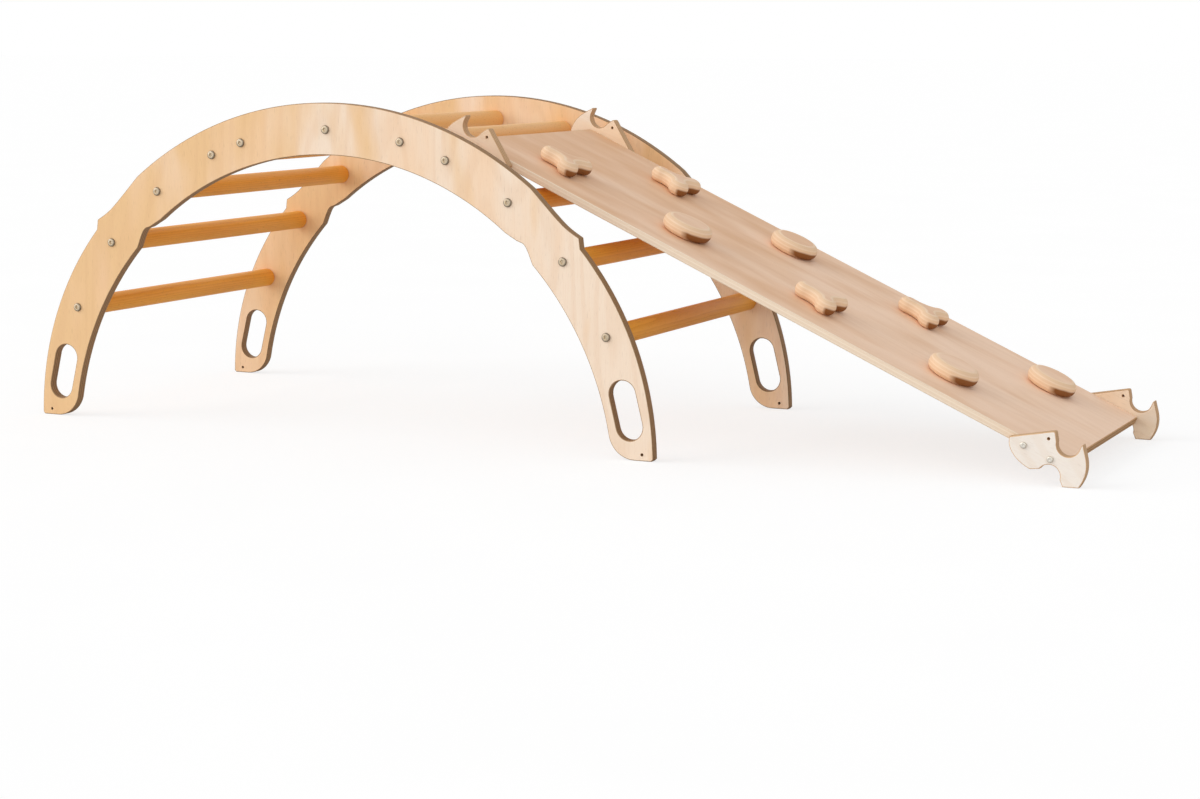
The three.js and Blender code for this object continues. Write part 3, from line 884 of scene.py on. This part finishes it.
def ramp_board():
    corner = BOARD_CORNER
    near, far = -BOARD_WIDTH / 2 + corner, BOARD_WIDTH / 2 - corner
    low, high = -corner, corner - BOARD_LENGTH
    outline = []
    for number, centre in enumerate([(low, far), (low, near), (high, near), (high, far)]):
        outline += arc(centre, corner, number * QUARTER, (number + 1) * QUARTER, BOARD_CORNER_STEPS)
    bore = HOLD_SCREW["shank"] + 2 * SCREW_HOLE_PLAY
    holes = []
    for _, _, place in hold_places():
        for x in (place.x, place.x - HOLD_SCREW_SPREAD):
            holes.append((circle((x, place.y), bore, HOLD_HOLE_SIDES), HOLE_ROUND))
    log = drift()

    def lay(x, y, depth):
        return on_ramp(x, y, -depth)

    def stock(x, y, depth):
        return Vector((x, y, depth)) * MM + log

    def tone(x, y, depth):
        """The board pales towards the ramp's foot."""
        return BOARD_TONE - BOARD_PALING * x / BOARD_LENGTH

    shape = plate(outline, holes, BOARD_THICKNESS, lay, stock, BOARD_ROUND, BOARD_EDGE_STEPS)
    side_end = BOARD_LENGTH / 2 - BOARD_CORNER * BOARD_END_SHARE
    for number, face in enumerate(shape.faces):
        from_middle = min(abs(shape.points[point][0] + BOARD_LENGTH / 2) for point in face)
        if shape.finishes[number] == 1 and from_middle > side_end:
            shape.finishes[number] = 2
    finishes = [BOARD_FACE, BOARD_EDGE, BOARD_END_SHADE]
    shape.piece("ramp_board_plywood", finishes, "ramp", ["ramp_board"], "board_plywood", tone)


ramp_board()


# Hook plates

def hook_outline():
    """A hook plate's outline, from its tail over the upper notch and the toe to the lower notch."""
    lower_depth = BOARD_THICKNESS + SEAT_GAP + RUNG_DIAMETER / 2
    heel_out = LOWER_NOTCH_RADIUS - LOWER_NOTCH_BACK + LIP_WIDTH
    upper = Vector((-UPPER_NOTCH_BACK, UPPER_NOTCH_FLOOR + UPPER_NOTCH_RADIUS))
    lower = Vector((-LOWER_NOTCH_BACK, -lower_depth))
    wall = math.asin((HOOK_PEAK_BACK - UPPER_NOTCH_BACK - UPPER_NOTCH_RADIUS) / HOOK_PEAK_HEIGHT)
    toe_out = heel_out + FOOT_LENGTH * math.cos(RAMP_ANGLE)
    toe_up = FOOT_LENGTH * math.sin(RAMP_ANGLE) - HEEL_DEPTH
    bends = [Vector((out * HOOK_REACH, up * HORN_HEIGHT)) for out, up in TOE_BEND_SHARES]
    belly = [Vector((-back * HOOK_TAIL, -down * BELLY_DEPTH)) for back, down in BELLY_BEND_SHARES]
    point = HOOK_POINT
    peak = Vector((-HOOK_PEAK_BACK, HOOK_PEAK_HEIGHT))
    horn = Vector((HORN_OUT, HORN_HEIGHT))
    outline = [belly[-1], peak + Vector((-point, -point / 2))]
    outline += bezier([outline[-1], peak, peak + Vector((point / 2, -point))], POINT_STEPS)
    outline += arc(upper, UPPER_NOTCH_RADIUS, -QUARTER - wall, -HALF - QUARTER, HOOK_NOTCH_STEPS)
    outline.append(horn + Vector((-point / 4, -point)))
    outline += bezier([outline[-1], horn, horn + Vector((point / 2, -point / 2))], POINT_STEPS)
    outline += bezier([outline[-1], *bends, Vector((toe_out, toe_up))], TOE_STEPS)
    outline.append(Vector((heel_out, -HEEL_DEPTH)))
    lip = math.acos((lower_depth - HEEL_DEPTH + LIP_WIDTH) / LOWER_NOTCH_RADIUS)
    outline += arc(lower, LOWER_NOTCH_RADIUS, lip, -lip, HOOK_NOTCH_STEPS)
    outline.append(belly[0])
    outline += bezier(belly, BELLY_STEPS)[:-1]
    return outline


def ramp_screw(node, number, size, seat):
    """One of the two screws that hold a piece to the board. The first one is in the frame."""
    nodes = [node + "_screw"] if number == 0 else []
    screw(f"{node}_screw_{number + 1}", size, seat, "ramp", nodes, RAMP_SCREW_ZINC)


def hook_plate(end, side):
    node = f"{end}_hook_plate_{side}"
    centre = RAMP.inverted() @ middle(node) / MM
    outward = 1 if end == "lower" else -1
    base = 0 if end == "lower" else -BOARD_LENGTH
    across = math.copysign(1, centre.y)
    outer = centre.y + across * HOOK_THICKNESS / 2
    bore = PLATE_SCREW["shank"] + 2 * SCREW_HOLE_PLAY
    backs = (PLATE_SCREW_BACK, SECOND_SCREW_BACK)
    holes = [(circle((-back, -BOARD_THICKNESS / 2), bore, HOLE_SIDES), HOLE_ROUND) for back in backs]
    holes.append((circle((-TIE_HOLE_BACK, TIE_HOLE_HEIGHT), TIE_HOLE, HOLE_SIDES), HOLE_ROUND))
    log = drift()

    def lay(x, z, depth):
        return on_ramp(base + outward * x, outer - across * depth, z)

    def stock(x, z, depth):
        return Vector((x, z, depth)) * MM + log

    shape = plate(hook_outline(), holes, HOOK_THICKNESS, lay, stock, HOOK_ROUND)
    # The lower near hook plate is paler, as painted light
    tone = PAINTED_LIGHT_HOOK_TONE if (end, side) == ("lower", "near") else HOOK_TONE
    shape.piece(node + "_plywood", [HOOK_FACE, HOOK_EDGE], "ramp", [node], "hook_plywood", tone)
    for number, back in enumerate(backs):
        point = (base - outward * back, outer + across * SEAT_GAP, -BOARD_THICKNESS / 2)
        ramp_screw(node, number, PLATE_SCREW, RAMP @ seat_at([length * MM for length in point], across > 0))


for end in ("lower", "upper"):
    for side in ("near", "far"):
        hook_plate(end, side)


# Climbing holds

def clover():
    """Round leaves joined by hollow curves. One leaf points up the ramp."""
    centre = (0, 0)
    spread = HALF / LEAVES
    offset = CLOVER_REACH - LEAF_RADIUS
    beside = offset * math.cos(spread)
    hollow = offset ** 2 + CLOVER_VALLEY ** 2 - LEAF_RADIUS ** 2 - 2 * beside * CLOVER_VALLEY
    hollow /= 2 * (LEAF_RADIUS - CLOVER_VALLEY + beside)
    reach = CLOVER_VALLEY + hollow
    half = angle_of(around(centre, reach, spread), (0, offset))
    made = []
    for leaf in range(LEAVES):
        turn = 2 * spread * leaf - QUARTER
        made += arc(around(centre, offset, turn), LEAF_RADIUS, turn - half, turn + half, LEAF_STEPS)
        start = turn + half + HALF
        end = start + 2 * (spread - half)
        made += arc(around(centre, reach, turn + spread), hollow, start, end, HOLLOW_STEPS)[1:-1]
    return made


def hold(node, kind, place):
    outline = clover() if kind == "clover" else circle((0, 0), HOLD_DIAMETER, DISC_SIDES)
    log = drift()

    def lay(x, y, depth):
        return on_ramp(place.x + x, place.y + y, SEAT_GAP + HOLD_THICKNESS - depth)

    def stock(x, y, depth):
        return Vector((x, y, depth)) * MM + log

    shape = plate(outline, [], HOLD_THICKNESS, lay, stock, HOLD_ROUND, HOLD_EDGE_STEPS)
    tone = random.uniform(-HOLD_TONE_SPREAD, HOLD_TONE_SPREAD)
    shape.piece(node + "_plywood", [BOARD_FACE, HOLD_EDGE], "ramp", [node], "hold_plywood", tone)
    for number, x in enumerate((place.x, place.x - HOLD_SCREW_SPREAD)):
        point = Vector((x, place.y, -BOARD_THICKNESS - SEAT_GAP))
        seat = RAMP @ Matrix.Translation(point * MM) @ Matrix.Rotation(QUARTER, 4, "X")
        ramp_screw(node, number, HOLD_SCREW, seat)


for node, kind, place in hold_places():
    hold(node, kind, place)


# Floor, light and camera

def studio_floor():
    """A pale floor that shows white to the camera apart from the object's soft shadow."""
    made, tree = new_material("pale_studio_floor")
    seen = add(tree, "LightPath", out="Is Camera Ray")
    place = add(tree, "TexCoord", out="Object")
    grain = add(tree, "TexNoise", place, Scale=3.0)
    shade = rescale(tree, seen, 0.0, 1.0, *FLOOR_SHADES)
    shade = calculate(tree, "MULTIPLY_ADD", grain, FLOOR_GRAIN, shade)
    tint = add(tree, "CombineXYZ", shade, shade, shade)
    matt = add(tree, "BsdfDiffuse", tint)
    glow = add(tree, "Emission", (1, 1, 1, 1), calculate(tree, "MULTIPLY", seen, FLOOR_GLOW))
    add(tree, "OutputMaterial", Surface=add(tree, "AddShader", matt, glow))
    mesh = bpy.data.meshes.new("studio_floor")
    corners = [Vector(corner) * FLOOR_REACH for corner in ((-1, -1, 0), (1, -1, 0), (1, 1, 0), (-1, 1, 0))]
    mesh.from_pydata(corners, [], [(0, 1, 2, 3)])
    mesh.materials.append(made)
    floor = bpy.data.objects.new("studio_floor", mesh)
    floor.location.z = -FLOOR_DROP
    bpy.context.scene.collection.objects.link(floor)


def studio_world():
    """Even soft light, with a white backdrop for the camera and for reflections."""
    world = bpy.data.worlds.new("studio_world")
    bpy.context.scene.world = world
    world.use_nodes = True
    tree = world.node_tree
    tree.nodes.clear()
    shown = add(tree, "LightPath", out="Is Camera Ray")
    for kind in ("Glossy", "Transmission"):
        shown = calculate(tree, "MAXIMUM", shown, add(tree, "LightPath", out=f"Is {kind} Ray"))
    strength = rescale(tree, shown, 0.0, 1.0, WORLD_LEVEL, 1.0)
    back = add(tree, "Background", (1, 1, 1, 1), strength)
    add(tree, "OutputWorld", Surface=back)


def soft_sun(name, towards, level, width):
    """A broad even lamp. Level is what it adds to a white surface that faces it."""
    lamp = bpy.data.lights.new(name, "SUN")
    lamp.energy = level * math.pi
    lamp.angle = math.radians(width)
    made = bpy.data.objects.new(name, lamp)
    made.rotation_euler = Vector(towards).to_track_quat("Z", "Y").to_euler()
    bpy.context.scene.collection.objects.link(made)


def set_camera():
    """The photograph's own viewpoint."""
    azimuth = math.radians(CAMERA_AZIMUTH)
    elevation = math.radians(CAMERA_ELEVATION)
    roll = math.radians(CAMERA_ROLL)
    ahead = Vector((
        -math.sin(azimuth) * math.cos(elevation),
        math.cos(azimuth) * math.cos(elevation),
        -math.sin(elevation)))
    level = Vector((math.cos(azimuth), math.sin(azimuth), 0))
    upright = level.cross(ahead)
    right = math.cos(roll) * level + math.sin(roll) * upright
    up = -math.sin(roll) * level + math.cos(roll) * upright
    lens = bpy.data.cameras.new("photo_camera")
    lens.lens = CAMERA_LENS
    lens.sensor_width = CAMERA_SENSOR
    lens.sensor_fit = "HORIZONTAL"
    lens.clip_end = CAMERA_FAR
    camera = bpy.data.objects.new("photo_camera", lens)
    turn = Matrix((right, up, -ahead)).transposed().to_4x4()
    camera.matrix_world = Matrix.Translation(CAMERA_PLACE) @ turn
    bpy.context.scene.collection.objects.link(camera)
    bpy.context.scene.camera = camera


studio_floor()
studio_world()
soft_sun("key_sun", towards=(-0.8, -0.42, 0.43), level=0.52, width=50)
soft_sun("front_sun", towards=(0.45, -0.86, 0.24), level=0.17, width=60)
set_camera()
bpy.context.scene.view_settings.view_transform = "Standard"
